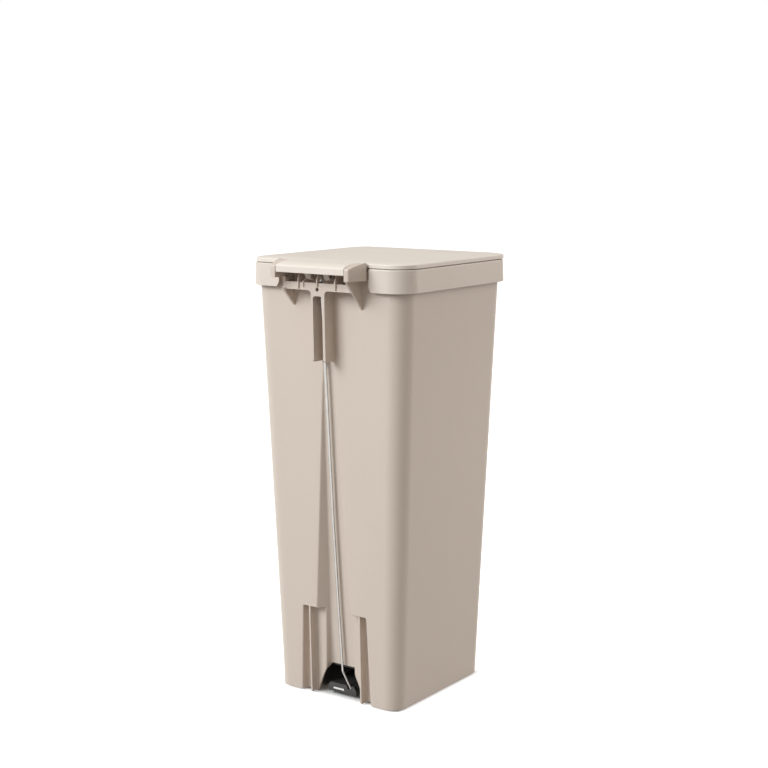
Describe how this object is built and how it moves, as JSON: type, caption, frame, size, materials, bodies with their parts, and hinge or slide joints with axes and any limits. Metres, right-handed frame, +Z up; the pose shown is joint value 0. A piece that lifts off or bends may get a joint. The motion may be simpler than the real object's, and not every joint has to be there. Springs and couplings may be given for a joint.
{
  "type": "pedal trash can",
  "caption": "Tall tapered rounded-square pedal bin with an overhanging bag frame, a flat hinged lid, and a wire push rod in a rear groove worked by a front foot pedal.",
  "frame": {"origin": "on the floor under the middle of the bin", "axes": "+Z up; -Y is the front with the pedal; +Y is the rear with the hinge and push rod; +X is the left side seen from behind"},
  "size_m": [0.2944, 0.36, 0.68],
  "materials": {
    "body_plastic": "satin moulded polypropylene, warm light grey",
    "lid_plastic": "semi-gloss moulded polypropylene, warm white",
    "lid_inner": "matt moulded polypropylene",
    "black_plastic": "black glass-filled nylon, fine texture",
    "rod_steel": "zinc-plated drawn wire",
    "pin_steel": "bright turned steel",
    "pedal_steel": "brushed stainless sheet",
    "rubber": "matt black rubber",
    "bumper_rubber": "grey soft rubber"
  },
  "bodies": {
    "bin": {"body_shell": "body_plastic", "hinge_bracket": "body_plastic", "bag_frame": "body_plastic", "hinge_pin_left": "pin_steel", "hinge_pin_right": "pin_steel", "pedal_carrier": "black_plastic", "carrier_screws": "pin_steel", "pedal_axle": "pin_steel", "axle_clips": "pin_steel", "lever_buffers": "rubber", "foot_front_left": "rubber", "foot_front_right": "rubber", "foot_rear_left": "rubber", "foot_rear_right": "rubber"},
    "lid": {"lid": "lid_plastic", "lid_inner_panel": "lid_inner", "lid_arm": "lid_inner", "lid_bumper_left": "bumper_rubber", "lid_bumper_right": "bumper_rubber"},
    "lever": {"pedal_lever": "black_plastic", "pedal_cover": "pedal_steel", "pedal_grip": "rubber"},
    "rod": {"push_rod": "rod_steel", "rod_clip": "pin_steel"}
  },
  "joints": [
    {"name": "lid_hinge", "type": "hinge", "parent": "bin", "child": "lid", "pos_m": [0, 0.169, 0.667], "axis": [-1, 0, 0], "range_deg": [0, 75]},
    {"name": "pedal_pivot", "type": "hinge", "parent": "bin", "child": "lever", "pos_m": [0, -0.06, 0.027], "axis": [1, 0, 0], "range_deg": [0, 8.85]},
    {"name": "rod_pivot", "type": "hinge", "parent": "lever", "child": "rod", "pos_m": [0, 0.1005, 0.0105], "axis": [1, 0, 0], "range_deg": [-9.1, 0]}
  ],
  "couplings": [
    {"joint": "pedal_pivot", "follows": "lid_hinge", "ratio": 0.11777},
    {"joint": "rod_pivot", "follows": "lid_hinge", "ratio": -0.1212}
  ]
}
